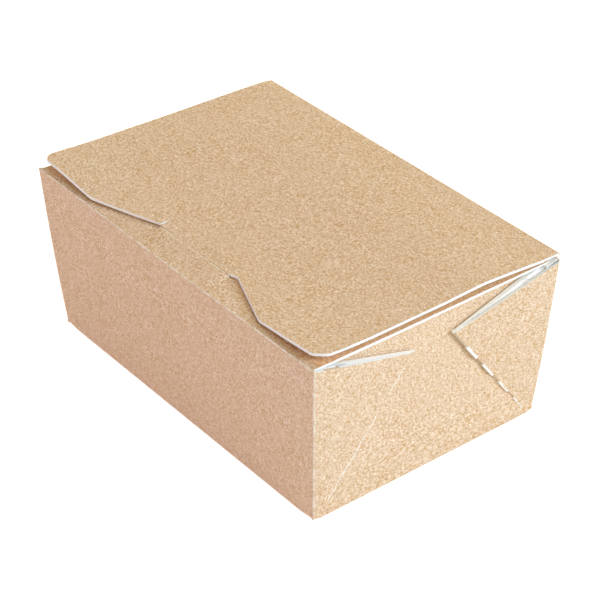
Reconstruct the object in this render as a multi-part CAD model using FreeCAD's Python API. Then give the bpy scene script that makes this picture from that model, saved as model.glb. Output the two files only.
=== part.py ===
import FreeCAD, Part
import math
import os

# Ballotin box: a small folding carton for chocolates. One sheet of board is folded into a tray
# whose walls flare upwards. At each vertical corner the sheet makes a web: two triangular layers,
# folded on a diagonal crease and glued flat on the outside of the end wall. Dust flaps fold in
# from the ends, the inner flap folds over them from the front, and the cover flap folds over
# everything from the back and tucks its tab into the inner flap's slot.
#
# Millimetres. X runs along the box, the front long wall faces -Y, +Z is up, and the origin is
# the middle of the underside.

Vector = FreeCAD.Vector
UP = Vector(0, 0, 1)

# The tray, measured over the outside of the board
base_length = 105.0
base_width = 69.0
end_flare = 4.0               # at each corner the rim stands out this far beyond the base, endways
side_flare = 2.6              # and this far sideways
wall_height = 46.4            # floor to the upper face of the inner flap
board = 0.65                  # thickness of the board
fold_radius = 0.9             # outside radius of a right-angled fold

# The end walls and their webs
end_wall_inset = 3.8          # the end wall's rim stands in this far from the corners
web_tip_reach = 30.6          # from the corner to the tip of the web, along the end wall
web_tip_drop = 9.3            # the tip of the web lies this far below the corner
web_foot = 1.0                # width that a web keeps where it meets the floor
back_web_drop = 1.2           # by the cover's fold, the web's rim leaves the corner this far down
front_web_drop = 0.2          # and by the inner flap's fold, this far
inner_web_inset = 3.2         # at the rim, the inner web's fold stands in from the corner
glue_gap = 0.1                # between the end wall and the inner web
web_lap = 0.15                # the inner web's tip stands this far into, and above, the outer's
overrun = 1.05                # a web's layers and folds are this much too long until trimmed

# The diagonal crease, which is cut through in stretches so that thick board folds flat
first_cut = 3.7               # from the web's foot to the lowest cut
cut_pitch = 9.7
cut_length = 6.0
cut_count = 4
cut_lip = 0.25                # the cut edges stand this far beyond the round of the fold

# The flaps that stay closed under the cover
leaf_gap = 0.1                # between the inner flap and the dust flaps
dust_flap_depth = 28.0
dust_flap_relief = 0.4        # at its root it is this much narrower on each side than its wall
dust_flap_taper = 2.5         # each side of a dust flap comes in this much along its depth
dust_flap_radius = 4.0
inner_flap_end_inset = 1.0    # the inner flap's ends stand in from the corners
inner_flap_back_gap = 1.8     # between the inner flap's free edge and the back wall
inner_flap_radius = 1.5

# The closure
slot_length = 28.7
slot_from_front = 8.6         # from the front fold to the middle of the slot
tab_side_gap = 0.3            # clearance between the tab and each side of the slot
tab_end_gap = 0.4             # clearance between the tab and each end of the slot
tab_depth = 9.5
tab_radius = 4.0

# The cover flap
hinge_gap = 0.3               # between the cover and what lies under it
cover_end_inset = 0.4         # the cover's ends stand in from the corners
cover_front_inset = 1.4       # its front edge stands in from the front fold
cover_corner_radius = 3.0
cover_lip_start = 34.0        # half the distance between the two straight front edges
cover_notch = 1.6             # the edge stands clear of each side of the tab by this much
tab_relief = 2.4              # slits this long run into the cover at both ends of the tab's fold
tab_relief_width = 0.25
right_bulge = 1.6             # the sprung board stands this high behind the fold at the +X end
right_bulge_run = 25.0        # and reaches that height this far from the fold
left_lift = 2.2               # at the -X end it rises evenly to this height

# What follows from those sizes
top_length = base_length + 2 * end_flare
top_width = base_width + 2 * side_flare
cover_length = top_length - 2 * cover_end_inset
hinge_y = top_width / 2 - board / 2
hinge_z = wall_height + hinge_gap + board / 2
slot_y = slot_from_front - top_width / 2
slot_width = board + 2 * tab_side_gap
slot_end_radius = 0.45 * slot_width
tab_width = slot_length - 2 * tab_end_gap
rim_height = wall_height - board - leaf_gap
foot_run = 3 * fold_radius    # how far the end walls' board runs in under the box
end_lean = math.atan((end_flare - end_wall_inset) / wall_height)
side_lean = math.atan(side_flare / wall_height)
end_normal = Vector(math.cos(end_lean), 0, -math.sin(end_lean))


def plate(corners, thickness_vector):
    """A flat panel: its outer face is the polygon, and the board lies along the vector."""
    outline = Part.makePolygon([*corners, corners[0]])
    return Part.Face(outline).extrude(thickness_vector)


def thickness_towards(point, corners):
    """The board's thickness as a vector square to a flat outline, on the side of a point."""
    normal = (corners[1] - corners[0]).cross(corners[2] - corners[0])
    normal.normalize()
    if normal.dot(point - corners[0]) < 0:
        normal = normal * -1
    return normal * board


def on_both_sides(shape, normal):
    """The shape fused with its mirror image in a plane through the origin."""
    return shape.fuse(shape.mirror(Vector(0, 0, 0), normal))


def edges_near(shape, point, tolerance=0.01):
    """The straight edges of a shape that pass through a point."""
    spot = Part.Vertex(point)
    return [edge for edge in shape.Edges if edge.distToShape(spot)[0] < tolerance]


def rounded_prism(corners, radii, low, high):
    """A vertical prism over a plan outline, with each corner rounded to its own radius."""
    outline = [Vector(x, y, low) for x, y in corners]
    solid = Part.Face(Part.makePolygon([*outline, outline[0]])).extrude(UP * (high - low))
    middle = (low + high) / 2
    for (x, y), radius in zip(corners, radii):
        if radius:
            solid = solid.makeFillet(radius, edges_near(solid, Vector(x, y, middle)))
    return solid


# The +X, +Y corner of the tray. The other three are its mirror images.
corner_foot = Vector(base_length / 2, base_width / 2, 0)
corner_top = Vector(top_length / 2, top_width / 2, wall_height)
fold_root = corner_foot - end_normal * (board / 2) + Vector(0, -2 * board, board)
fold_root_radius = 0.3 * board


def end_point(y, z, stand_off=0.0):
    """A point on the end wall's outer face, or standing off it."""
    x = base_length / 2 + z * math.tan(end_lean)
    return Vector(x, y, z) + end_normal * stand_off


def web_tip(stand_off):
    """The tip of a web, where its rim meets the diagonal crease."""
    return end_point(top_width / 2 - web_tip_reach, wall_height - web_tip_drop, stand_off)


def inner_web_top(stand_off):
    """The top of the fold between the end wall and the inner web."""
    return end_point(top_width / 2 - inner_web_inset, rim_height - board, stand_off)


def tapered_fold(high, high_radius):
    """The round edge of a doubled fold, from inside the tray's corner up past the web's rim."""
    along = (high - fold_root) * overrun
    far_radius = fold_root_radius + (high_radius - fold_root_radius) * overrun
    return Part.makeCone(fold_root_radius, far_radius, along.Length, fold_root, along)


def half_space(point, outward):
    """A large block whose face lies in a plane, on the inner side of it."""
    size = 4 * top_length
    block = Part.makeBox(size, size, size, Vector(-size / 2, -size / 2, -size))
    block.Placement = FreeCAD.Placement(point, FreeCAD.Rotation(UP, outward))
    return block


def outward_normal(first, second, foot):
    """The normal of a plane that two directions span, pointing away from the box's middle."""
    normal = first.cross(second)
    normal.normalize()
    return normal if normal.dot(foot) > 0 else normal * -1


def wall_block(depth, radius):
    """The back of the box as a block: long wall and outer webs moved in by a depth, corners round."""
    along = corner_top - corner_foot
    wall = outward_normal(Vector(1, 0, 0), along, corner_foot)
    web = outward_normal(along, web_tip(2 * board + glue_gap) - corner_foot, corner_foot)
    size = 2 * top_length
    block = Part.makeBox(size, size, 2 * wall_height, Vector(-size / 2, 0, -wall_height / 2))
    block = block.common(half_space(corner_foot - wall * depth, wall))
    for side in (1, -1):
        foot = Vector(side * corner_foot.x, corner_foot.y, 0)
        normal = Vector(side * web.x, web.y, web.z)
        block = block.common(half_space(foot - normal * depth, normal))
    corner = (corner_foot + corner_top) * 0.5
    for side in (1, -1):
        middle = Part.Vertex(Vector(side * corner.x, corner.y, corner.z))
        nearest = min(block.Edges, key=lambda edge: edge.distToShape(middle)[0])
        block = block.makeFillet(radius, [nearest])
    return block


def inner_web():
    """The web layer glued to the end wall, with the two doubled folds that bound it."""
    tip = web_tip(board + glue_gap + web_lap)
    top = inner_web_top(board + glue_gap)
    far_top = corner_foot + (top - corner_foot) * overrun
    far_tip = corner_foot + (tip - corner_foot) * overrun
    corners = [corner_foot, far_top, far_tip]
    layer = plate(corners, thickness_towards(Vector(0, 0, wall_height), corners))
    end_fold = tapered_fold(inner_web_top(glue_gap / 2), board / 2 + glue_gap / 2)
    diagonal = tapered_fold(web_tip(board + glue_gap), board)
    rim_low = web_tip(0) + UP * web_lap
    upwards = outward_normal(Vector(1, 0, 0), inner_web_top(0) - rim_low, UP)
    return layer.fuse([end_fold, diagonal]).common(half_space(rim_low, upwards))


def crease_edge():
    """The lower edge of a web in the end view, from its foot to its tip, with a step at each cut."""
    start = Vector(0, corner_foot.y - web_foot, 0)
    tip = web_tip(0)
    run = Vector(0, tip.y, tip.z) - start
    along = run * (1 / run.Length)
    outwards = Vector(0, -along.z, along.y)
    points = [start]
    for i in range(cut_count):
        low = first_cut + i * cut_pitch
        for place, lip in ((low, 0), (low, 1), (low + cut_length, 1), (low + cut_length, 0)):
            reach = cut_lip + board * place / run.Length
            points.append(start + along * place + outwards * (lip * reach))
    return [*points, start + run]


def web_window(rim_drop):
    """A block along the box whose section is the outline of a long wall and its webs."""
    inside = corner_top.y - board
    far = top_width
    outline = [(point.y, point.z) for point in crease_edge()]
    outline += [(inside, wall_height - rim_drop), (inside, wall_height)]
    outline += [(far, wall_height), (far, 0)]
    face = [Vector(-top_length, y, z) for y, z in outline]
    return plate(face, Vector(2 * top_length, 0, 0))


def long_wall(rim_drop):
    """The back long wall with its outer webs round both corners, in one piece."""
    wall = wall_block(0, fold_radius).cut(wall_block(board, fold_radius - board))
    return wall.common(web_window(rim_drop))


def inner_flap():
    """The inner top flap, hinged on the front wall, with the slot for the tab."""
    end = top_length / 2 - inner_flap_end_inset
    front = -top_width / 2
    back = top_width / 2 - board - inner_flap_back_gap
    corners = [(-end, front), (end, front), (end, back), (-end, back)]
    radii = (0, 0, inner_flap_radius, inner_flap_radius)
    flap = rounded_prism(corners, radii, wall_height - board, wall_height)
    half = slot_length / 2
    low_y = slot_y - slot_width / 2
    high_y = slot_y + slot_width / 2
    sides = [(-half, low_y), (half, low_y), (half, high_y), (-half, high_y)]
    radii = [slot_end_radius] * 4
    slot = rounded_prism(sides, radii, wall_height - 2 * board, wall_height + board)
    return flap.cut(slot)


def front_fold_rounding():
    """What the round of the fold at the inner flap's root takes off the sharp corner."""
    half_angle = (math.pi / 2 - side_lean) / 2
    corner = Vector(0, -top_width / 2, wall_height)
    down = Vector(0, math.sin(side_lean), -math.cos(side_lean))
    back = Vector(0, 1, 0)
    bisector = down + back
    bisector.normalize()
    run = fold_radius / math.tan(half_angle)
    crest = corner + bisector * (fold_radius / math.sin(half_angle) - fold_radius)
    low = corner + down * run
    high = corner + back * run
    arc = Part.Arc(low, crest, high).toShape()
    outside = [high, high + UP, corner - bisector * 2, low + Vector(0, down.z, -down.y), low]
    rim = Part.Wire([arc, *Part.makePolygon(outside).Edges])
    length = top_length - 2 * inner_flap_end_inset
    tool = Part.Face(rim).extrude(Vector(length, 0, 0))
    tool.translate(Vector(-length / 2, 0, 0))
    return tool


def front_wall():
    """The front long wall and the inner flap that folds back from its top."""
    wall = long_wall(front_web_drop).mirror(Vector(0, 0, 0), Vector(0, 1, 0))
    wall = wall.fuse(inner_flap()).removeSplitter()
    return wall.cut(front_fold_rounding())


def dust_flap():
    """The flap that folds in from the +X end wall, under the inner flap."""
    root = end_point(0, rim_height).x
    tip = root - dust_flap_depth
    wide = inner_web_top(0).y - dust_flap_relief
    narrow = wide - dust_flap_taper
    root = root - 2 * fold_radius
    corners = [(root, -wide), (root, wide), (tip, narrow), (tip, -narrow)]
    radii = (0, 0, dust_flap_radius, dust_flap_radius)
    return rounded_prism(corners, radii, rim_height - board, rim_height)


def end_wall():
    """The +X end wall with the fold at its foot and its dust flap."""
    foot = end_point(0, 0)
    top = end_point(0, rim_height)
    inside = board / math.cos(end_lean)
    inner_foot = end_point(0, board).x - inside
    inner_top = end_point(0, rim_height - board).x - inside
    profile = [(foot.x - foot_run, 0), (foot.x, 0), (top.x, top.z), (top.x - foot_run, top.z)]
    profile += [(top.x - foot_run, top.z - board), (inner_top, top.z - board)]
    profile += [(inner_foot, board), (foot.x - foot_run, board)]
    start = [Vector(x, -top_width, z) for x, z in profile]
    strip = plate(start, Vector(0, 2 * top_width, 0))
    strip = strip.makeFillet(fold_radius, edges_near(strip, top))
    low = fold_root.y
    high = inner_web_top(0).y
    outline = [(-low, 0), (low, 0), (high, rim_height), (-high, rim_height)]
    window = plate([Vector(0, y, z) for y, z in outline], Vector(top_length, 0, 0))
    return strip.common(window).fuse(dust_flap()).removeSplitter()


def side_rounding():
    """A block along the box that just holds the long walls and rounds their folds at the floor."""
    height = 2 * wall_height
    low = base_width / 2
    high = low + 2 * side_flare
    outline = [(-low, 0), (low, 0), (high, height), (-high, height)]
    block = plate([Vector(-top_length, y, z) for y, z in outline], Vector(2 * top_length, 0, 0))
    folds = [edge for y in (-low, low) for edge in edges_near(block, Vector(0, y, 0))]
    return block.makeFillet(fold_radius, folds)


def end_rounding():
    """A block across the box that does the same for the end walls and the feet of the webs."""
    height = 2 * wall_height
    low = base_length / 2
    high = low + 2 * end_flare
    outline = [(-low, 0), (low, 0), (high, height), (-high, height)]
    block = plate([Vector(x, -top_width, z) for x, z in outline], Vector(0, 2 * top_width, 0))
    folds = [edge for x in (-low, low) for edge in edges_near(block, Vector(x, 0, 0))]
    return block.makeFillet(fold_radius, folds)


def floor_panel():
    """The flat floor, which runs out into the folds all round."""
    end = base_length / 2 - board / 2
    side = base_width / 2 - board / 2
    outline = [(end, side), (-end, side), (-end, -side), (end, -side)]
    return plate([Vector(x, y, 0) for x, y in outline], UP * board)


def carton():
    """The folded sheet without its cover flap, as one solid."""
    ends = on_both_sides(end_wall(), Vector(1, 0, 0))
    walls = floor_panel().fuse([long_wall(back_web_drop), front_wall()])
    folded = walls.common(side_rounding()).fuse(ends).common(end_rounding())
    webs = on_both_sides(on_both_sides(inner_web(), Vector(0, 1, 0)), Vector(1, 0, 0))
    return folded.fuse(webs).removeSplitter()


def cover_lift(x, y):
    """How far the sprung cover stands above its hinge line. Its tab holds the middle down."""
    u = (hinge_y - y) / (hinge_y - slot_y)
    side = x / (cover_length / 2)
    rise = min((hinge_y - y) / right_bulge_run, 1)
    right = right_bulge * rise ** 2 * (3 - 2 * rise)
    free = (left_lift * u * (1 - side) + right * (1 + side)) / 2
    return free * (1 - (1 - side ** 2) ** 2 * u ** 3)


def cover_surface(low_y, high_y):
    """The cover's gently bowed lower face, as one smooth patch wider than the cover."""
    columns = 11              # heights taken along and across the patch
    reach = cover_length / 2 + board
    rows = []
    for i in range(columns):
        x = reach * (2 * i / (columns - 1) - 1)
        row = []
        for j in range(columns):
            y = low_y + (high_y - low_y) * j / (columns - 1)
            row.append(Vector(x, y, hinge_z - board / 2 + cover_lift(x, y)))
        rows.append(row)
    patch = Part.BSplineSurface()
    patch.interpolate(rows)
    return patch.toShape()


def cover_panel():
    """The bowed panel of the cover flap, cut to its outline."""
    end = cover_length / 2
    front = cover_front_inset - top_width / 2
    tab = tab_width / 2
    slit = tab + tab_relief_width
    notch = tab + cover_notch
    lip = slot_y - board / 2
    slit_end = slot_y + tab_relief
    left = [(-end, hinge_y), (-end, front), (-cover_lip_start, front), (-notch, lip)]
    left += [(-slit, lip), (-slit, slit_end), (-tab, slit_end), (-tab, slot_y)]
    corners = left + [(-x, y) for x, y in reversed(left)]
    half_radii = [0, cover_corner_radius, cover_corner_radius, 0, 0, 0, 0, 0]
    radii = half_radii + half_radii[::-1]
    outline = rounded_prism(corners, radii, hinge_z - tab_depth, hinge_z + tab_depth)
    sheet = cover_surface(front - board, hinge_y + board).extrude(UP * board)
    return sheet.common(outline)


def fold_bead(y, length):
    """The round edge of the board along a fold of the cover."""
    return Part.makeCylinder(board / 2, length, Vector(-length / 2, y, hinge_z), Vector(1, 0, 0))


def tab():
    """The tab, curved about the hinge line so that it swings straight out of its slot."""
    radius = hinge_y - slot_y
    axis_start = Vector(-tab_width / 2, hinge_y, hinge_z)
    along = Vector(1, 0, 0)
    ring = Part.makeCylinder(radius + board / 2, tab_width, axis_start, along)
    ring = ring.cut(Part.makeCylinder(radius - board / 2, tab_width, axis_start, along))
    half = tab_width / 2
    back = slot_y - 2 * board
    low = hinge_z - tab_depth
    face = [Vector(x, back, z) for x, z in ((-half, hinge_z), (half, hinge_z), (half, low), (-half, low))]
    blank = plate(face, Vector(0, 6 * board, 0))
    for x in (-half, half):
        blank = blank.makeFillet(tab_radius, edges_near(blank, Vector(x, slot_y, low)))
    return ring.common(blank)


def cover_flap():
    """The cover flap: bowed panel, round edge at the hinge, and tab."""
    beads = [fold_bead(hinge_y, cover_length), fold_bead(slot_y, tab_width)]
    return cover_panel().fuse([*beads, tab()]).removeSplitter()


def one_solid(shape, name):
    """The single solid in a shape. A sheet that fell apart is an error."""
    solids = shape.Solids
    if len(solids) != 1 or not solids[0].isValid():
        raise ValueError(f"{name} has {len(solids)} solids")
    return solids[0]


os.makedirs("parts", exist_ok=True)
for node, build in (("carton", carton), ("cover_flap", cover_flap)):
    solid = one_solid(build(), node)
    solid.exportStep(f"parts/{node}.step")
    print(node, "volume", round(solid.Volume, 1), "faces", len(solid.Faces))
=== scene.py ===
import math

import bmesh
import bpy
from mathutils import Matrix, Vector, noise


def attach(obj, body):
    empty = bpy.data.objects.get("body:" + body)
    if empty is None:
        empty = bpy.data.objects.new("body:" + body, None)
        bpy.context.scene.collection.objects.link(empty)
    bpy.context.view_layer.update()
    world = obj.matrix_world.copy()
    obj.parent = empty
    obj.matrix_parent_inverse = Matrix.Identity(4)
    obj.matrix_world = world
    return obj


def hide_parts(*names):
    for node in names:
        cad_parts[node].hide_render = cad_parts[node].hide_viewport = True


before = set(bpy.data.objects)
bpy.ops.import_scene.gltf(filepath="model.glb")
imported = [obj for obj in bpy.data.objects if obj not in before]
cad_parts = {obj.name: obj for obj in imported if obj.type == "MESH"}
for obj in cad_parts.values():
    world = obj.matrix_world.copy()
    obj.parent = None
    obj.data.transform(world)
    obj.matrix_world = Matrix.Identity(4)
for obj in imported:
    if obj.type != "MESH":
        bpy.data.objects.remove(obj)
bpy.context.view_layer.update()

MM = 0.001
X, Y, Z = range(3)

# Ballotin box: one sheet of board, kraft outside and white inside, folded into a carton with a
# cover flap. Both pieces start as copies of the construction's solids. The copies are cut into
# strips so that the paper can spring and bow, and their faces are sorted into kraft face, white
# lining and cut edge. Lengths are in millimetres until a piece is finished. X runs along the box,
# the front long wall faces -Y, and the origin is the middle of the underside.

# Sizes that the construction has, under its own names
base_length = 105.0
base_width = 69.0
end_flare = 4.0               # at each corner the rim stands out this far beyond the base, endways
side_flare = 2.6              # and this far sideways
wall_height = 46.4            # floor to the upper face of the inner flap
board = 0.65
fold_radius = 0.9
end_wall_inset = 3.8          # the end wall's rim stands in this far from the corners
web_tip_reach = 30.6          # from the corner to the tip of the web, along the end wall
web_tip_drop = 9.3            # the tip of the web lies this far below the corner
web_foot = 1.0                # width that a web keeps where it meets the floor
inner_web_inset = 3.2         # at the rim, the inner web's fold stands in from the corner
glue_gap = 0.1
web_lap = 0.15                # the inner web's tip stands this far into, and above, the outer's
first_cut = 3.7               # along the diagonal crease, from the web's foot to the lowest cut
cut_pitch = 9.7
cut_length = 6.0
cut_count = 4
leaf_gap = 0.1                # between the inner flap and the dust flaps
slot_length = 28.7
slot_from_front = 8.6
tab_side_gap = 0.3
tab_end_gap = 0.4
hinge_gap = 0.3               # between the cover and what lies under it
cover_end_inset = 0.4
cover_front_inset = 1.4
cover_corner_radius = 3.0
cover_lip_start = 34.0        # half the distance between the two straight front edges
cover_notch = 1.6             # the edge stands clear of each side of the tab by this much
tab_relief_width = 0.25       # width of the slits at both ends of the tab's fold
right_bulge = 1.6             # the sprung cover stands this high behind the fold at the +X end
right_bulge_run = 25.0        # and reaches that height this far from the fold
left_lift = 2.2               # at the -X end it rises evenly to this height

# What follows from them
top_length = base_length + 2 * end_flare
top_width = base_width + 2 * side_flare
end_slope = (end_flare - end_wall_inset) / wall_height
side_slope = side_flare / wall_height
hinge_y = top_width / 2 - board / 2
hinge_z = wall_height + hinge_gap + board / 2
slot_y = slot_from_front - top_width / 2
slot_rim = slot_y - board / 2 - tab_side_gap    # the slot's long side nearer the front fold
slot_half = slot_length / 2
tab_half = slot_half - tab_end_gap
slit_half = tab_half + tab_relief_width
notch_half = tab_half + cover_notch
cover_half = top_length / 2 - cover_end_inset
front_edge = cover_front_inset - top_width / 2

# The webs in the +X, +Y corner, which the other three corners mirror
corner_foot = Vector((base_length / 2, base_width / 2, 0))
corner_top = Vector((top_length / 2, top_width / 2, wall_height))
tip_z = wall_height - web_tip_drop
web_tip = Vector((base_length / 2 + tip_z * end_slope + 2 * board + glue_gap,
                  top_width / 2 - web_tip_reach, tip_z))
end_normal = Vector((1, 0, -end_slope)).normalized()
wall_normal = Vector((0, 1, -side_slope)).normalized()
crease_foot_y = base_width / 2 - web_foot
crease_run = math.hypot(crease_foot_y - web_tip.y, tip_z)
crease_across = (crease_foot_y - web_tip.y) / crease_run
crease_up = tip_z / crease_run


def facing_out(normal):
    """The unit normal on the side that looks along +X."""
    return normal.normalized() if normal.x > 0 else -normal.normalized()


web_normal = facing_out((web_tip - corner_foot).cross(corner_top - corner_foot))

# The web's inner layer: its lining lies in a plane through the foot of the corner
inner_top_y = top_width / 2 - inner_web_inset
inner_top_z = wall_height - leaf_gap - 2 * board
inner_top = Vector((base_length / 2 + inner_top_z * end_slope, inner_top_y, inner_top_z))
inner_top = inner_top + end_normal * (board + glue_gap)
inner_tip = Vector((base_length / 2 + tip_z * end_slope, web_tip.y, tip_z))
inner_tip = inner_tip + end_normal * (board + glue_gap + web_lap)
inner_normal = facing_out((inner_tip - corner_foot).cross(inner_top - corner_foot))
inner_rim_low = tip_z + web_lap
inner_rim_slope = (inner_top_z - inner_rim_low) / (inner_top_y - web_tip.y)


# ---- Materials -------------------------------------------------------------------------------

kraft_pale = (0.98, 0.83, 0.67)
kraft_dark = (0.60, 0.33, 0.09)
# the pale of wear with painted highlights on the fold crests, and of the painted highlight at the
# slot's rim
worn_and_highlit_kraft = (1.0, 0.95, 0.83)
white_board = (0.97, 0.96, 0.94)
cut_board = (0.98, 1.0, 0.97)

# What a colour is multiplied by to tint it
reddish = (1.03, 0.90, 0.80)
greenish = (0.92, 1.02, 0.86)
# painted shade: the brown that the inner flap is multiplied by where the cover shades it
painted_shade_brown = (0.96, 0.80, 0.65)
creamy = (0.985, 0.975, 0.96)
warm = (0.97, 0.90, 0.83)

# The grain: fine specks, a little longer across the box than along it, on soft clouds
speck_size = 0.31
speck_stretch = (1, 1.9, 1)
speck_contrast = 4.4
cloud_size = 1.1
cloud_contrast = 1.1
grain_bump = 0.05

# Single fibres: which way each kind is turned and drawn out, and the noise beyond which it shows
fibre_size = 0.3
fibre_ways = (((0.2, 0.1, 0.7), (5, 1, 1)),
              ((0.6, 0.9, -0.5), (1, 5, 1)),
              ((0.3, -0.6, 0.2), (1, 1, 5)))
dark_fibre = (0.70, 0.80)
pale_fibre = (0.30, 0.20)

# The white that shows at the webs' diagonal creases, torn board at the back and painted highlights
# in front, as heights above the crease, square to it
sliver_low = -1.12
sliver_high = -0.24
sliver_soft = 0.24
glint_height = 0.6
glint_half = 0.08
glint_soft = 0.14
glint_spans = ((6.0, 28.6), (35.4, 40.8))       # along the crease, from its foot


class Nodes:
    """Short calls for building one material's node tree."""

    def __init__(self, name):
        self.material = bpy.data.materials.new(name)
        self.material.use_nodes = True
        self.tree = self.material.node_tree
        self.shader = self.tree.nodes["Principled BSDF"]
        self.place = self.tree.nodes.new("ShaderNodeTexCoord").outputs["Object"]

    def link(self, source, socket):
        self.tree.links.new(source, socket)

    def put(self, value, socket):
        """Gives a socket a value, or a link where the value comes from another node."""
        if isinstance(value, bpy.types.NodeSocket):
            self.link(value, socket)
        else:
            socket.default_value = value

    def maths(self, operation, first, second=0.0, third=0.0, clamp=False):
        node = self.tree.nodes.new("ShaderNodeMath")
        node.operation = operation
        node.use_clamp = clamp
        for value, socket in zip((first, second, third), node.inputs):
            self.put(value, socket)
        return node.outputs[0]

    def plus(self, first, second):
        return self.maths("ADD", first, second)

    def minus(self, first, second):
        return self.maths("SUBTRACT", first, second)

    def times(self, first, second, clamp=False):
        return self.maths("MULTIPLY", first, second, clamp=clamp)

    def without_sign(self, value):
        return self.maths("ABSOLUTE", value)

    def between(self, value, low, high):
        """A value held between a lowest and a highest one."""
        return self.maths("MINIMUM", self.maths("MAXIMUM", value, low), high)

    def ramp(self, value, low, high, start=0.0, end=1.0):
        """A smooth step from start to end as the value goes from low to high."""
        node = self.tree.nodes.new("ShaderNodeMapRange")
        node.interpolation_type = "SMOOTHSTEP"
        self.put(value, node.inputs["Value"])
        settings = {"From Min": low, "From Max": high, "To Min": start, "To Max": end}
        for name, number in settings.items():
            self.put(number, node.inputs[name])
        return node.outputs["Result"]

    def band(self, value, start, end, soft):
        """One where a value lies between two others, with soft ends."""
        rising = self.ramp(value, start - soft, start)
        falling = self.ramp(value, end, end + soft, 1.0, 0.0)
        return self.times(rising, falling)

    def noise(self, size, stretch=(1, 1, 1), turn=(0, 0, 0), detail=2.0, roughness=0.5):
        """Noise whose features are about the given size in millimetres, drawn out along an axis."""
        mapping = self.tree.nodes.new("ShaderNodeMapping")
        self.link(self.place, mapping.inputs["Vector"])
        mapping.inputs["Rotation"].default_value = turn
        mapping.inputs["Scale"].default_value = [1 / (size * MM * s) for s in stretch]
        node = self.tree.nodes.new("ShaderNodeTexNoise")
        self.link(mapping.outputs["Vector"], node.inputs["Vector"])
        node.inputs["Scale"].default_value = 1.0
        node.inputs["Detail"].default_value = detail
        node.inputs["Roughness"].default_value = roughness
        return node.outputs["Fac"]

    def swing(self, size, reach, **kind):
        """Noise that swings about zero, by up to half the reach either way."""
        return self.times(self.minus(self.noise(size, **kind), 0.5), reach)

    def patches(self, size, low, high, share, **kind):
        """Scattered patches that grow to the given share as the noise goes from low to high."""
        return self.ramp(self.noise(size, **kind), low, high, 0.0, share)

    def mix(self, share, first, second, blend="MIX"):
        node = self.tree.nodes.new("ShaderNodeMix")
        node.data_type = "RGBA"
        node.blend_type = blend
        self.put(share, node.inputs["Factor"])
        for value, name in ((first, "A"), (second, "B")):
            socket = [s for s in node.inputs if s.name == name and s.type == "RGBA"][0]
            self.put(value if isinstance(value, bpy.types.NodeSocket) else (*value, 1), socket)
        return [s for s in node.outputs if s.type == "RGBA"][0]

    def bump(self, height, distance):
        node = self.tree.nodes.new("ShaderNodeBump")
        node.inputs["Strength"].default_value = 1.0
        node.inputs["Distance"].default_value = distance * MM
        self.link(height, node.inputs["Height"])
        self.link(node.outputs["Normal"], self.shader.inputs["Normal"])

    def axes(self):
        """The place's own coordinates in millimetres."""
        split = self.tree.nodes.new("ShaderNodeSeparateXYZ")
        self.link(self.place, split.inputs[0])
        return [self.maths("DIVIDE", out, MM) for out in split.outputs]

    def finish(self, colour, roughness, sheen):
        self.put(colour, self.shader.inputs["Base Color"])
        self.put(roughness, self.shader.inputs["Roughness"])
        self.put(sheen, self.shader.inputs["Specular IOR Level"])
        return self.material


def tinted(colour, tint):
    return [c * k for c, k in zip(colour, tint)]


def shaded(colour, share):
    return [min(1, c * share) for c in colour]


def fibre_grain(nodes):
    """The mottle of recycled fibre, from -1 to 1: fine specks on soft clouds."""
    specks = nodes.swing(speck_size, speck_contrast, stretch=speck_stretch, detail=1.0)
    clouds = nodes.swing(cloud_size, cloud_contrast)
    return nodes.between(nodes.plus(specks, clouds), -1.0, 1.0)


def grained(nodes, grain, dark, pale):
    """A colour that goes from dark to pale with the grain."""
    return nodes.mix(nodes.maths("MULTIPLY_ADD", grain, 0.5, 0.5), dark, pale)


def kraft(name, white=None, painted_shade=None):
    """Kraft-faced board: mottled fibre, single dark and pale fibres, and wear with painted
    highlights where it folds.

    The two functions say where white board and painted highlights show at the creases, and where
    shade is painted under the cover.
    """
    nodes = Nodes(name)
    grain = fibre_grain(nodes)
    tone = grained(nodes, grain, kraft_dark, kraft_pale)
    red_patches = nodes.patches(0.8, 0.56, 0.72, 0.20, detail=1.0)
    tone = nodes.mix(red_patches, tone, tinted(kraft_dark, reddish))
    green_patches = nodes.patches(0.9, 0.58, 0.72, 0.16, turn=(0.5, 0.2, 0.9), detail=1.0)
    tone = nodes.mix(green_patches, tone, tinted(kraft_dark, greenish))
    for turn, stretch in fibre_ways:
        fibre = nodes.noise(fibre_size, stretch=stretch, turn=turn, detail=0.0)
        tone = nodes.mix(nodes.ramp(fibre, *dark_fibre, 0.0, 0.45), tone, shaded(kraft_dark, 0.72))
        tone = nodes.mix(nodes.ramp(fibre, *pale_fibre, 0.0, 0.5), tone, shaded(kraft_pale, 1.08))
    tone = nodes.mix(nodes.patches(14, 0.25, 0.75, 0.10, detail=3.0), tone, shaded(kraft_pale, 0.93))
    # painted shade: the inner flap darkens to a warm brown under the cover and just in front of its
    # edge
    if painted_shade:
        tone = nodes.mix(painted_shade(nodes), tone, painted_shade_brown, "MULTIPLY")
    # wear with a painted highlight on the fold crests, and a painted highlight along the slot's rim
    tone = nodes.mix(rubbed_and_highlit(nodes), tone, worn_and_highlit_kraft)
    # white board where the back creases are torn, and painted highlights along the front creases
    if white:
        tone = nodes.mix(white(nodes), tone, white_board)
    nodes.bump(grain, grain_bump)
    return nodes.finish(tone, nodes.maths("MULTIPLY_ADD", grain, 0.06, 0.80), 0.3)


def rubbed_and_highlit(nodes):
    """Wear with a painted highlight along the creases, and a painted highlight along the slot's rim,
    which come and go along their length.
    """
    attribute = nodes.tree.nodes.new("ShaderNodeAttribute")
    attribute.attribute_name = "wear_and_highlight"
    patchy = nodes.ramp(nodes.noise(1.3), 0.38, 0.60, 0.25, 1.0)
    return nodes.times(attribute.outputs["Fac"], patchy, clamp=True)


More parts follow.
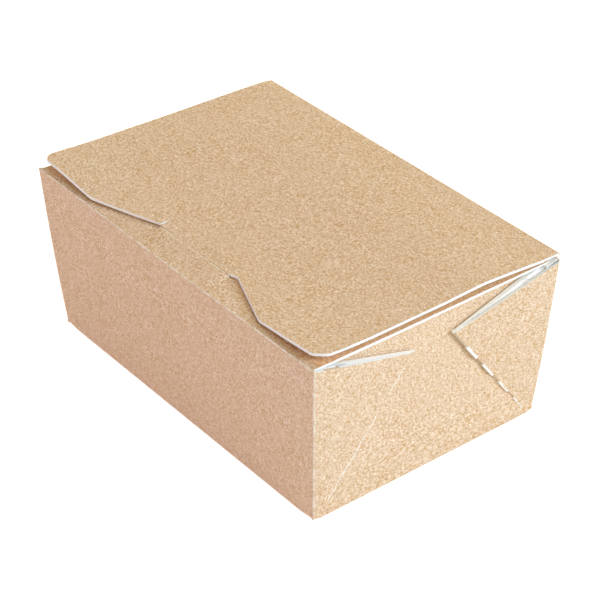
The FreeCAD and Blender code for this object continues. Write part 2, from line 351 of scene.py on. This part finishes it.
def torn_slivers(nodes, along_crease, above_crease):
    """White board along the stretches where a diagonal crease is cut, with a ragged outline."""
    cut_number = nodes.maths("DIVIDE", nodes.minus(along_crease, first_cut), cut_pitch)
    along_cut = nodes.times(nodes.maths("FRACT", cut_number), cut_pitch)
    in_cut = nodes.band(along_cut, 0.2, cut_length, 0.25)
    last_cut_end = first_cut + (cut_count - 1) * cut_pitch + cut_length
    in_row = nodes.band(along_crease, first_cut - 0.2, last_cut_end, 0.2)
    ragged = nodes.plus(above_crease, nodes.swing(0.7, 0.8))
    in_height = nodes.band(ragged, sliver_low, sliver_high, sliver_soft)
    return nodes.times(nodes.times(in_cut, in_row), in_height)


def painted_front_glints(nodes, along_crease, above_crease):
    """Painted highlights: thin, swaying white lines along the front webs' diagonal creases, where
    the creases' edges catch the light.
    """
    swaying = nodes.plus(above_crease, nodes.swing(5, 1.6))
    line = nodes.band(swaying, glint_height - glint_half, glint_height + glint_half, glint_soft)
    spans = [nodes.band(along_crease, low, high, 1.2) for low, high in glint_spans]
    return nodes.times(nodes.times(line, nodes.plus(*spans)), 0.8)


def white_board_and_glints_at_creases(nodes):
    """Where the webs' diagonal creases turn white: white board torn open at the back, painted
    highlights in front.
    """
    x, y, z = nodes.axes()
    from_foot = nodes.minus(crease_foot_y, nodes.without_sign(y))
    along_crease = nodes.plus(nodes.times(from_foot, crease_across), nodes.times(z, crease_up))
    above_crease = nodes.minus(nodes.times(z, crease_across), nodes.times(from_foot, crease_up))
    torn = torn_slivers(nodes, along_crease, above_crease)
    # painted highlights along the front webs' creases
    painted_glints = painted_front_glints(nodes, along_crease, above_crease)
    in_front = nodes.ramp(y, 1, -1)
    white = nodes.plus(torn, nodes.times(in_front, nodes.minus(painted_glints, torn)))
    end_wall_x = nodes.maths("MULTIPLY_ADD", z, end_slope + 0.008, base_length / 2)
    off_end_wall = nodes.minus(nodes.without_sign(x), end_wall_x)
    return nodes.times(white, nodes.ramp(off_end_wall, 0.05, 0.09), clamp=True)


def painted_shade_under_cover(nodes):
    """Painted shade: how much the inner flap is darkened, as in the cover's shadow, over the part
    that the cover hides and a little in front of its edge.
    """
    x, y, z = nodes.axes()
    notch_depth = slot_y - front_edge
    notch_slope = notch_depth / (cover_lip_start - notch_half)
    forward = nodes.times(nodes.minus(nodes.without_sign(x), notch_half), notch_slope)
    cover_edge = nodes.minus(slot_y, nodes.between(forward, 0.0, notch_depth))
    behind_edge = nodes.ramp(nodes.minus(y, cover_edge), -1.0, 1.2)
    on_top = nodes.ramp(z, wall_height - 1.0, wall_height - 0.5)
    before_hinge = nodes.ramp(y, hinge_y - 0.8, hinge_y - 0.5, 1.0, 0.0)
    return nodes.times(nodes.times(behind_edge, on_top), before_hinge)


def lining(name, colour):
    """The bleached white inside of the board: smooth, with the faintest fibre."""
    nodes = Nodes(name)
    grain = fibre_grain(nodes)
    tone = grained(nodes, grain, shaded(colour, 0.965), colour)
    tone = nodes.mix(nodes.patches(9, 0.4, 0.6, 0.5, detail=3.0), tone, tinted(colour, creamy))
    nodes.bump(grain, 0.02)
    return nodes.finish(tone, 0.62, 0.35)


def cut_edge(name, colour):
    """The die-cut edge of the board: white core, slightly furry, with a warm tinge in places."""
    nodes = Nodes(name)
    tone = grained(nodes, fibre_grain(nodes), shaded(colour, 0.93), colour)
    tone = nodes.mix(nodes.patches(0.5, 0.60, 0.75, 0.25), tone, tinted(colour, warm))
    nodes.bump(nodes.noise(0.25, detail=3.0, roughness=0.7), 0.06)
    return nodes.finish(tone, 0.9, 0.2)


carton_kraft = kraft("carton kraft face", white_board_and_glints_at_creases, painted_shade_under_cover)
cover_kraft = kraft("cover kraft face")
white_lining = lining("white lining", white_board)
white_edge = cut_edge("cut edge", cut_board)

# The places of the materials on both pieces
KRAFT, LINING, CUT_EDGE = range(3)


# ---- Ways to work on both pieces ---------------------------------------------------------------

# How much of a face's normal points a given way, for a face that more or less looks that way
barely, leaning, partly, half, mostly, fully = 0.05, 0.25, 0.3, 0.5, 0.8, 0.9
sharp_fold = math.radians(28)
slice_tolerance = 0.0001


def merged_copy(node):
    """A bmesh of a CAD node, in millimetres, with its loose triangles joined."""
    shape = bmesh.new()
    shape.from_mesh(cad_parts[node].data)
    bmesh.ops.transform(shape, matrix=Matrix.Scale(1 / MM, 4), verts=shape.verts)
    bmesh.ops.remove_doubles(shape, verts=shape.verts, dist=0.0005)
    return shape


def slice_once(shape, place, normal):
    """Cuts a mesh through along a plane, and keeps both sides."""
    everything = [*shape.verts, *shape.edges, *shape.faces]
    bmesh.ops.bisect_plane(shape, geom=everything, dist=slice_tolerance,
                           plane_co=place, plane_no=normal)


def slice_across(shape, axis, low, high, step):
    """Cuts a mesh into even slices, so that it can bend."""
    normal = Vector([float(i == axis) for i in range(3)])
    count = round((high - low) / step)
    for i in range(1, count):
        slice_once(shape, normal * (low + (high - low) * i / count), normal)


def keep_folds_sharp(shape):
    for edge in shape.edges:
        edge.smooth = len(edge.link_faces) == 2 and edge.calc_face_angle(0) < sharp_fold


def finished_piece(name, shape, materials, body, node):
    """Turns a bmesh in millimetres into a piece that stands for a CAD node."""
    bmesh.ops.transform(shape, matrix=Matrix.Scale(MM, 4), verts=shape.verts)
    mesh = bpy.data.meshes.new(name)
    shape.to_mesh(mesh)
    shape.free()
    for material in materials:
        mesh.materials.append(material)
    piece = bpy.data.objects.new(name, mesh)
    bpy.context.collection.objects.link(piece)
    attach(piece, body)
    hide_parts(node)
    return piece


def clamped(value):
    return min(max(value, 0), 1)


def ease(value):
    """A smooth step from 0 to 1."""
    value = clamped(value)
    return value * value * (3 - 2 * value)


def step_from(start, run, value):
    """A smooth step that begins at the start and is full a run further on."""
    return ease((value - start) / run)


# ---- The folded carton -------------------------------------------------------------------------

# How near a face or place lies to a surface, in millimetres, to belong to it
touch = 0.05
plane_touch = 0.06
rim_touch = 0.1
# and how deep in the sheet a face may lie and still be on its outer side
skin = 0.3
corner_skin = 0.25

# The strip of board between the slot and the front fold rises flush with the tab's fold
strip_lift = 0.88
strip_reach = 0.2             # and its rim stands this much nearer to the front fold
strip_front = 1.0 - top_width / 2
strip_squareness = 14

# Folds are crisper than a round: the higher, the crisper
fold_sharpness = 1.8
upright_start = 1.0           # the upright folds are round up to this height
upright_run = 4.0             # and fully crisp this much higher

# Wear with a painted highlight on the folds' crests: how strong it is and how far, in fold radii, it
# reaches from the fold's crest
front_wear_and_highlight_reach = 0.5
upright_wear_and_highlight = 0.85
upright_wear_and_highlight_reach = 0.6
# a painted highlight along the slot's rim, where the strip's cut edge catches the light
rim_highlight = (-0.17, 0.05)      # from before the slot's rim to behind it

# The webs spring from the end wall, and their layers from each other
web_stand_off = 0.3           # the webs' open edges stand this far off
web_spring_run = 1.6          # and do so fully at their reach divided by this
inner_rim_gap = 0.25          # by the corner, the inner web's rim stands this far off
groove_depth = 1.3            # the inner web's rim rounds down over this much
groove_lip = 0.35             # the rim stands this share of the groove's width into it
groove_floor = 0.12           # and below it the groove narrows to this
least_groove = 0.15

# The walls bow, and the flaps' ends are pressed down
wall_belly = 0.35
corner_belly = 0.12
end_belly = 0.12
wave_height = 0.12            # and all walls have slow waves besides
wave_length = 34.0
left_front_lift = 0.5         # the left part of the front fold has risen by up to this much
end_press = 0.22
foot_lift = 0.65              # the round corners of the underside stand this far off the table
foot_reach = 2.5
foot_height = 2.0

# The slices that let the carton bend
length_step, width_step, height_step = 4.7, 4.6, 3.9
strip_step = 0.9
rim_step = 0.15
slot_end_step = 0.5

# The crease between the back wall and the cover, and the fold inside each back corner
crease_place = (0, hinge_y + 0.02, wall_height + 0.25)
crease_size = (2 * cover_half - 1, 0.56, 0.8)
gusset_place = (54.15, 34.9, 45.45)
gusset_size = (3.5, 3.9, 0.25)
gusset_tilt = 16.9


def in_one_corner(place):
    """The place of the +X, +Y corner that a place of the carton mirrors."""
    return Vector((abs(place.x), abs(place.y), place.z))


def web_height(spot):
    """How far a place stands out from the outer web's face."""
    return (spot - corner_foot).dot(web_normal)


def depth_in_wall(spot):
    """How far a place lies behind the long wall's outer face."""
    return base_width / 2 + spot.z * side_slope - spot.y


def is_kraft(place, normal):
    """Whether a face of the carton belongs to the kraft side of the sheet."""
    spot = in_one_corner(place)
    out_x = normal.x if place.x > 0 else -normal.x
    out_y = normal.y if place.y > 0 else -normal.y
    near_corner = web_height(spot)
    on_wall = depth_in_wall(spot) < skin
    beyond_end_wall = spot.x - base_length / 2 - spot.z * end_slope
    underside = normal.z < -partly and spot.z < fold_radius - 0.1
    if underside:
        return True
    if spot.z > wall_height - board - touch:
        on_top = normal.z > fully and spot.z > wall_height - touch
        flat_top = on_top and place.y < top_width / 2 - 1
        faces_front = normal.z > barely and out_y > barely
        front_fold = place.y < 0 and faces_front and spot.y > top_width / 2 - 1.1
        wall_face = out_y > half and on_wall
        corner = out_x > partly and near_corner > -corner_skin and spot.y > top_width / 2 - 1.2
        return flat_top or front_fold or wall_face or corner
    if out_y > leaning and on_wall:
        return True
    if out_x > leaning and near_corner > -skin:
        return True
    if out_x > mostly and abs(beyond_end_wall) < plane_touch:
        return True
    at_end_rim = spot.z > wall_height - 2 * board - fold_radius
    between_webs = abs(spot.y) < top_width / 2 - inner_web_inset - 0.1
    return at_end_rim and between_webs and normal.z > barely and out_x > -barely


def is_cut_edge(face):
    """Whether a white face of the carton is the cut edge of the board and not its lining."""
    normal = face.normal
    flat = max(abs(normal.x), abs(normal.y), abs(normal.z)) > 0.97
    rim = face.calc_center_median().z > wall_height - board - touch and abs(normal.z) < half
    slanted = abs(normal.x) < 0.2 and not flat
    return rim or slanted


def on_round(a, b):
    """Whether a place is on a fold's round, from its depth under both faces in fold radii."""
    return abs(math.hypot(1 - a, 1 - b) - 1) < 0.08 and -0.02 < a < 1 and -0.02 < b < 1


def crisper(first, first_normal, second, second_normal, share=1.0):
    """How far a place on a round fold moves outwards, so that the fold is sharper.

    first and second are how deep the place lies under the fold's two faces.
    """
    a, b = first / fold_radius, second / fold_radius
    if not on_round(a, b):
        return Vector((0, 0, 0))
    sharp_a = max(a, 0) ** fold_sharpness
    sharp_b = max(b, 0) ** fold_sharpness
    out = first_normal * (a - sharp_a) + second_normal * (b - sharp_b)
    return out * fold_radius * share


def sharpened(place):
    """How far a place moves so that the folds are as crisp as creased board folds."""
    spot = in_one_corner(place)
    in_wall = depth_in_wall(spot)
    move = Vector((0, 0, 0))
    if place.y < 0:
        move += crisper(in_wall, wall_normal, wall_height - spot.z, Vector((0, 0, 1)))
    upright = step_from(upright_start, upright_run, spot.z)
    move += crisper(in_wall, wall_normal, -web_height(spot), web_normal, upright)
    move.x = math.copysign(move.x, move.x * place.x)
    move.y = math.copysign(move.y, move.y * place.y)
    return move


def crest(first, second, reach):
    """One on the crest of a round fold, falling to zero away from it."""
    a, b = first / fold_radius, second / fold_radius
    return clamped(1.8 - 1.8 * abs(a - b) / reach) if on_round(a, b) else 0


def wear_and_highlight_at(place):
    """How much wear and painted highlight the sheet has at a place: wear with a painted highlight
    along the front fold and the upright folds, and a painted highlight at the slot's rim.
    """
    spot = in_one_corner(place)
    in_wall = depth_in_wall(spot)
    past_rim = place.y - slot_rim
    at_rim = rim_highlight[0] < past_rim < rim_highlight[1] and spot.x < slot_half
    if at_rim and place.z > wall_height - touch:
        return 1.0
    front = crest(in_wall, wall_height - spot.z, front_wear_and_highlight_reach) if place.y < 0 else 0
    return max(front, upright_wear_and_highlight * crest(in_wall, -web_height(spot), upright_wear_and_highlight_reach))


def web_spring(place):
    """How far the web's layers stand away from the end wall and from each other."""
    spot = in_one_corner(place)
    off_wall = (spot - corner_foot).dot(end_normal)
    if off_wall < touch or spot.z > wall_height - board:
        return 0
    from_corner = ease(depth_in_wall(spot) / web_tip_reach * web_spring_run)
    below_rim = inner_rim_low + inner_rim_slope * (spot.y - web_tip.y) - spot.z
    on_rim = abs(below_rim) < rim_touch
    move = web_stand_off * from_corner
    if off_wall < glue_gap + web_lap and on_rim:
        move += inner_rim_gap * (1 - from_corner)
    on_lining = abs((spot - corner_foot).dot(inner_normal)) < plane_touch
    groove = -web_height(spot) - board
    if on_lining and groove > least_groove:
        if on_rim:
            move += groove_lip * groove
        elif abs(below_rim - groove_depth) < rim_touch:
            move += groove - groove_floor
    return move


def strip_share(x, y, z):
    """How much a place takes part in the rise of the strip between the slot and the front fold."""
    if y > slot_y - 0.2 or z < wall_height - board - touch or abs(x) > slot_half:
        return 0
    from_fold = (y - strip_front) / (slot_rim - strip_front)
    return (1 - (abs(x) / slot_half) ** strip_squareness) * ease(from_fold)


def pressed_ends(x, y, z):
    """How far the inner flap is pressed down along its ends."""
    on_top = z > wall_height - touch and y > 2 - top_width / 2
    return end_press * step_from(44, 9, abs(x)) * step_from(-34, 4, y) if on_top else 0


def foot_rise(x, y, z):
    """How far the round corners of the underside stand off the table."""
    from_corner = math.hypot(abs(x) - base_length / 2, abs(y) - base_width / 2)
    return foot_lift * ease(1 - from_corner / foot_reach) * ease(1 - z / foot_height)


def paper_spring(place):
    """How far the folded sheet has sprung from its flat panels."""
    x, y, z = place
    end, side = (1 if x > 0 else -1), (1 if y > 0 else -1)
    rise = clamped(z / wall_height)
    along_box = min(abs(x) / (top_length / 2), 1)
    across_box = min(abs(y) / (top_width / 2), 1)
    near_end = step_from(0.85, 0.1, along_box)
    near_side = step_from(0.85, 0.1, across_box)
    belly = 4 * rise * (1 - rise)
    wave = noise.noise(place / wave_length) * wave_height * belly
    side_bow = belly * (wall_belly * (1 - along_box ** 4) + corner_belly)
    left_front = step_from(5, 50, -x) * step_from(24, 13, -y) * step_from(0.6, 0.4, rise)
    strip = strip_share(x, y, z)
    out_x = end * (near_end * (belly * end_belly + wave) + web_spring(place))
    out_y = side * near_side * (side_bow + wave)
    if strip:
        out_y -= strip_reach * step_from(0.8, 0.2, strip)
    up = left_front_lift * left_front + strip_lift * strip
    return Vector((out_x, out_y, up - pressed_ends(x, y, z) + foot_rise(x, y, z)))


def slice_carton(shape):
    """Cuts the carton into strips, finer where it bends more."""
    slice_across(shape, X, -top_length / 2, top_length / 2, length_step)
    slice_across(shape, Y, -top_width / 2, top_width / 2, width_step)
    slice_across(shape, Z, 0, wall_height, height_step)
    slice_across(shape, Y, strip_front, slot_rim - 0.26, strip_step)
    slice_across(shape, Y, slot_rim - 3 * rim_step, slot_rim, rim_step)
    for side in (-1, 1):
        slice_across(shape, X, side * slot_half - 2, side * slot_half + 2, slot_end_step)
    for side in (-1, 1):
        under_rim = Vector((0, side * web_tip.y, inner_rim_low - groove_depth))
        slice_once(shape, under_rim, Vector((0, side * inner_rim_slope, -1)).normalized())


def add_slab(shape, middle, size, tilt, material):
    """A small slab of board inside the carton, turned about the box's length."""
    turn = Matrix.Rotation(math.radians(tilt), 4, "X")
    place = Matrix.Translation(middle) @ turn @ Matrix.Diagonal((*size, 1))
    made = bmesh.ops.create_cube(shape, size=1, matrix=place)["verts"]
    for face in {face for vertex in made for face in vertex.link_faces}:
        face.material_index = material


def add_crease_and_gussets(shape):
    """The crease that joins the cover to the back wall, and the fold inside each back corner."""
    add_slab(shape, crease_place, crease_size, 0, KRAFT)
    x, y, z = gusset_place
    for side in (-1, 1):
        add_slab(shape, (side * x, y, z), gusset_size, gusset_tilt, LINING)


def build_carton():
    shape = merged_copy("carton")
    slice_carton(shape)
    for face in shape.faces:
        face.smooth = True
        if is_kraft(face.calc_center_median(), face.normal):
            face.material_index = KRAFT
        else:
            face.material_index = CUT_EDGE if is_cut_edge(face) else LINING
    # wear with painted highlights on the folds, and a painted highlight at the slot's rim, for the
    # kraft material
    wear_and_highlight = shape.verts.layers.float.new("wear_and_highlight")
    for vertex in shape.verts:
        vertex[wear_and_highlight] = wear_and_highlight_at(vertex.co)
    for vertex in shape.verts:
        vertex.co += sharpened(vertex.co) + paper_spring(vertex.co)
    add_crease_and_gussets(shape)
    keep_folds_sharp(shape)
    return finished_piece("folded_carton", shape, [carton_kraft, white_lining, white_edge],
                          "carton", "carton")


# ---- The cover flap ----------------------------------------------------------------------------

# How high the cover's two ends have sprung, at distances in from the hinge
left_spring = ((0, 0.0), (2, 0.34), (10, 0.64), (22, 0.9), (37, 1.15), (45, 1.42), (52, 1.57),
               (60, 1.85), (67, 2.3), (72, 2.5))
right_spring = ((0, 0.35), (5, 0.51), (10, 0.87), (15, 1.26), (20, 1.6), (24, 1.8), (29, 1.7),
                (36, 1.48), (44, 1.42), (52, 1.42), (59, 1.42), (65, 1.66), (72, 2.15))
# and what share of that height its front edge has, at shares of the way from the tab to its corner
left_hold = ((0, 0), (0.05, 0.1), (0.2, 0.13), (0.38, 0.25), (0.5, 0.37), (0.77, 0.86),
             (0.87, 0.98), (1, 1))
right_hold = ((0, 0), (0.25, 0.04), (0.45, 0.14), (0.58, 0.31), (0.69, 0.43), (0.82, 0.62),
              (0.92, 0.8), (1, 1))

# The tab sits this far down and forwards in its slot, and the cover behind it follows
tab_settle = 0.28
tab_forward = 0.45
tongue_run = 2.6

# The edge beside the tab has moved, along the box and across it, within this reach
right_notch_move = (0.88, 0.68)
left_notch_move = (1.25, 0.0)
notch_reach = 7.0

# The front parts are out of square by this much at the right end and at the left
right_shear = 0.45
left_shear = -0.1

# How round the front corners are: the smaller, the rounder, and 1 for the die's own radius
right_corner_power = 0.75
left_corner_power = 0.97

edge_slant = 0.09             # the die splays the underside of a cut edge outwards by this much
cover_step = 2.0
tab_root_step = 0.6
top_share, underside_share = 0.8, 0.2     # of the board's thickness: beyond it, a place is on a face


def share_towards_front(y):
    """Where a place lies on the way from the hinge to the slot, from 0 to 1 and past it."""
    return (hinge_y - y) / (hinge_y - slot_y)


def share_beyond_tab(x):
    """Where a place lies on the way from the tab's side to the cover's end."""
    return clamped((abs(x) - tab_half) / (cover_half - tab_half))


def end_shares(x):
    """What the cover's left and right ends give to a place between them."""
    side = x / cover_half
    return (1 - side) / 2, (1 + side) / 2


def frame_lift(x, y):
    """How far the construction's cover stands above its hinge line."""
    forward = share_towards_front(y)
    left_share, right_share = end_shares(x)
    right = right_bulge * ease((hinge_y - y) / right_bulge_run)
    free = left_lift * forward * left_share + right * right_share
    return free * (1 - (1 - (x / cover_half) ** 2) ** 2 * forward ** 3)


def height_along(profile, distance):
    """The height at a distance, on a smooth line through pairs of distance and height."""
    places = [place for place, height in profile]
    heights = [height for place, height in profile]
    last = len(profile) - 1
    i = min(max(sum(place <= distance for place in places) - 1, 0), last - 1)
    run = places[i + 1] - places[i]
    slopes = []
    for k in (i, i + 1):
        before, after = max(k - 1, 0), min(k + 1, last)
        slopes.append((heights[after] - heights[before]) / (places[after] - places[before]) * run)
    t = clamped((distance - places[i]) / run)
    rise = heights[i + 1] - heights[i]
    bend = (slopes[0] + slopes[1] - 2 * rise) * t + 3 * rise - 2 * slopes[0] - slopes[1]
    return heights[i] + t * (slopes[0] + t * bend)


def share_of_tab(x, y):
    """How much a place of the cover goes with the tab, between the two slits."""
    between_slits = abs(x) < tab_half + 0.05
    return ease(1 - (y - slot_y) / tongue_run) if between_slits else 0


def cover_lift(x, y):
    """How far the sprung cover stands above its hinge line. The tab holds its middle down."""
    left = height_along(left_spring, hinge_y - y)
    right = height_along(right_spring, hinge_y - y)
    left_share, right_share = end_shares(x)
    free = left * left_share + right * right_share
    end, hold = (right, right_hold) if x > 0 else (left, left_hold)
    held_down = end * height_along(hold, share_beyond_tab(x)) - tab_settle * share_of_tab(x, y)
    held = ease(share_towards_front(y)) ** 1.5
    return free * (1 - held) + held_down * held


def cover_shift(x, y):
    """How far the cover's front parts lie out of place, along the box and across it."""
    past_slit = clamped((abs(x) - slit_half) / (notch_half - slit_half))
    along_edge = clamped((abs(x) - notch_half) / (cover_lip_start - notch_half))
    root_y = slot_y - board / 2
    edge_y = root_y + (front_edge - root_y) * along_edge
    at_notch = past_slit * (1 - along_edge) * ease(1 - abs(y - edge_y) / notch_reach)
    along_move, across_move = right_notch_move if x > 0 else left_notch_move
    beyond = share_beyond_tab(x)
    shear = right_shear * min(beyond / 0.45, 1) if x > 0 else left_shear * beyond
    in_front = ease(share_towards_front(y) * 1.5 - 0.5)
    across = (shear - tab_forward * share_of_tab(x, y)) * in_front + across_move * at_notch
    return along_move * at_notch, across


def corner_shift(x, y):
    """How far a place in a rounded front corner moves to make the corner rounder."""
    a = (cover_half - abs(x)) / cover_corner_radius
    b = (y - front_edge) / cover_corner_radius
    if not (0 <= a < 1 and 0 <= b < 1):
        return 0, 0
    power = right_corner_power if x > 0 else left_corner_power
    out_x = (a - a ** power) * cover_corner_radius
    return (out_x if x > 0 else -out_x), (b ** power - b) * cover_corner_radius


def spring_cover(shape):
    """Bends the cover from the construction's even spring to the real sheet's."""
    for vertex in shape.verts:
        x, y, z = vertex.co
        underside = hinge_z - board / 2 + frame_lift(x, y)
        on_tab = abs(x) < tab_half + 0.02 and (y < slot_y + 0.02 or z < underside - touch)
        if on_tab:
            vertex.co.y = y - tab_forward
            vertex.co.z = z - tab_settle
            continue
        height = z - underside
        if height > top_share * board:
            height = board
        elif height < underside_share * board:
            height = 0
        if y < hinge_y - 0.02:
            vertex.co.z = hinge_z - board / 2 + cover_lift(x, y) + height
        else:
            vertex.co.z = z + cover_lift(x, y)
        move_x, move_y = cover_shift(x, y)
        round_x, round_y = corner_shift(x, y)
        vertex.co.x += move_x + round_x
        vertex.co.y += move_y + round_y


def slant_edges(shape):
    """Splays the cover's cut edges a little, as a die leaves them."""
    edge_normals = {}
    for face in shape.faces:
        if abs(face.normal.z) < partly and face.calc_center_median().z > hinge_z - board:
            for vertex in face.verts:
                edge_normals.setdefault(vertex, []).append(face.normal.copy())
    for vertex, normals in edge_normals.items():
        x, y, z = vertex.co
        underside = any(face.normal.z < -0.7 for face in vertex.link_faces)
        clear_of_tab = abs(x) > notch_half or y > slot_y + 5
        if underside and y < hinge_y - 1 and clear_of_tab:
            out = sum(normals, Vector()).normalized()
            vertex.co += Vector((out.x, out.y, 0)) * edge_slant


def side_of_cover(place, normal):
    """Which material a face of the cover has."""
    on_tab = place.z < hinge_z - board / 2 - tab_settle - 0.1
    tab_root = abs(place.x) < tab_half and place.y < slot_y and normal.y < -0.2
    hinge_bead = place.y > hinge_y and normal.z > -partly
    if tab_root or hinge_bead:
        return KRAFT
    if on_tab:
        if normal.y < -half:
            return KRAFT
        return CUT_EDGE if abs(normal.y) < half else LINING
    if normal.z > half:
        return KRAFT
    return CUT_EDGE if abs(normal.z) < 0.4 else LINING


def build_cover():
    shape = merged_copy("cover_flap")
    slice_across(shape, X, -cover_half, cover_half, cover_step)
    slice_across(shape, Y, -top_width / 2, top_width / 2, cover_step)
    slice_across(shape, Y, slot_y + 0.3, slot_y + 3.9, tab_root_step)
    spring_cover(shape)
    slant_edges(shape)
    for face in shape.faces:
        face.smooth = True
        face.material_index = side_of_cover(face.calc_center_median(), face.normal)
    keep_folds_sharp(shape)
    return finished_piece("cover_flap_board", shape, [cover_kraft, white_lining, white_edge],
                          "cover", "cover_flap")


# ---- The stage ---------------------------------------------------------------------------------

# The camera's angles are in degrees. It looks past the middle of the box by a little.
camera_azimuth, camera_elevation, camera_roll = 52.421, 33.855, -0.657
camera_distance = 532.8
camera_right, camera_down = 2.14, 3.35
camera_lens, camera_sensor = 127.63, 36
aim_height = 24.5

# Each lamp's azimuth and elevation in degrees, its power in watts and its colour.
# The lamps' size, distance and aim are in metres.
lamps = {
    "right light": (118, 26, 10.3, (0.682, 0.791, 1.0)),
    "high right light": (80, 45, 3.6, (1.0, 0.967, 0.733)),
    "front light": (-18, 15, 5.04, (0.964, 0.795, 1.0)),
    "back light": (190, 50, 2.16, (1.0, 0.72, 0.28)),
    "rear light": (190, 8, 3.0, (1.0, 0.92, 0.62)),
    "left light": (-115, 8, 5.4, (1.0, 0.92, 0.72)),
}
lamp_size = 0.6
lamp_distance = 1.2
lamp_aim = Vector((0, 0, 0.03))
floor_glow = 0.74
sky_colour = (1, 0.9, 0.72, 1)
sky_strength = 0.20


def direction(azimuth, elevation):
    """The unit vector towards an azimuth, taken from -Y towards +X, and an elevation, in degrees."""
    turn, rise = math.radians(azimuth), math.radians(elevation)
    flat = Vector((math.sin(turn), -math.cos(turn), 0))
    return flat * math.cos(rise) + Vector((0, 0, math.sin(rise)))


def add_camera():
    azimuth, roll = math.radians(camera_azimuth), math.radians(camera_roll)
    back = direction(camera_azimuth, camera_elevation)
    level = Vector((math.cos(azimuth), math.sin(azimuth), 0))
    steep = back.cross(level)
    right = math.cos(roll) * level + math.sin(roll) * steep
    up = -math.sin(roll) * level + math.cos(roll) * steep
    place = back * camera_distance + right * camera_right - up * camera_down
    place = (Vector((0, 0, aim_height)) + place) * MM
    camera = bpy.data.objects.new("camera", bpy.data.cameras.new("camera"))
    camera.data.sensor_width = camera_sensor
    camera.data.lens = camera_lens
    axes = Matrix((right, up, back)).transposed()
    camera.matrix_world = Matrix.Translation(place) @ axes.to_4x4()
    bpy.context.collection.objects.link(camera)
    bpy.context.scene.camera = camera


def add_lamp(name, azimuth, elevation, power, colour):
    """A round soft lamp that looks at the middle of the box."""
    out = direction(azimuth, elevation)
    lamp = bpy.data.lights.new(name, "AREA")
    lamp.shape = "DISK"
    lamp.size = lamp_size
    lamp.energy = power
    lamp.color = colour
    holder = bpy.data.objects.new(name, lamp)
    holder.location = lamp_aim + out * lamp_distance
    holder.rotation_euler = out.to_track_quat("Z", "Y").to_euler()
    bpy.context.collection.objects.link(holder)


def seen_directly(tree):
    """One where the eye, a reflection or a clear piece looks straight at a thing, else zero."""
    path = tree.nodes.new("ShaderNodeLightPath")
    total = path.outputs["Is Camera Ray"]
    for name in ("Is Glossy Ray", "Is Transmission Ray"):
        node = tree.nodes.new("ShaderNodeMath")
        node.operation = "MAXIMUM"
        tree.links.new(total, node.inputs[0])
        tree.links.new(path.outputs[name], node.inputs[1])
        total = node.outputs[0]
    return total


def add_floor():
    shape = bmesh.new()
    bmesh.ops.create_grid(shape, x_segments=1, y_segments=1, size=3)
    mesh = bpy.data.meshes.new("floor")
    shape.to_mesh(mesh)
    shape.free()
    floor = bpy.data.objects.new("floor", mesh)
    bpy.context.collection.objects.link(floor)
    nodes = Nodes("pale floor")
    nodes.shader.inputs["Base Color"].default_value = (0.92, 0.92, 0.92, 1)
    nodes.shader.inputs["Roughness"].default_value = 0.9
    nodes.shader.inputs["Emission Color"].default_value = (1, 1, 1, 1)
    glow = nodes.times(seen_directly(nodes.tree), floor_glow)
    nodes.link(glow, nodes.shader.inputs["Emission Strength"])
    mesh.materials.append(nodes.material)


def add_world():
    """A warm, dim sky that the eye sees as plain white."""
    world = bpy.data.worlds.new("studio")
    bpy.context.scene.world = world
    world.use_nodes = True
    tree = world.node_tree
    light = tree.nodes["Background"]
    light.inputs["Color"].default_value = sky_colour
    light.inputs["Strength"].default_value = sky_strength
    white = tree.nodes.new("ShaderNodeBackground")
    white.inputs["Color"].default_value = (1, 1, 1, 1)
    either = tree.nodes.new("ShaderNodeMixShader")
    tree.links.new(seen_directly(tree), either.inputs["Fac"])
    tree.links.new(light.outputs[0], either.inputs[1])
    tree.links.new(white.outputs[0], either.inputs[2])
    tree.links.new(either.outputs[0], tree.nodes["World Output"].inputs["Surface"])


build_carton()
build_cover()
add_floor()
add_camera()
for lamp_name, settings in lamps.items():
    add_lamp(lamp_name, *settings)
add_world()
bpy.context.scene.view_settings.view_transform = "Standard"
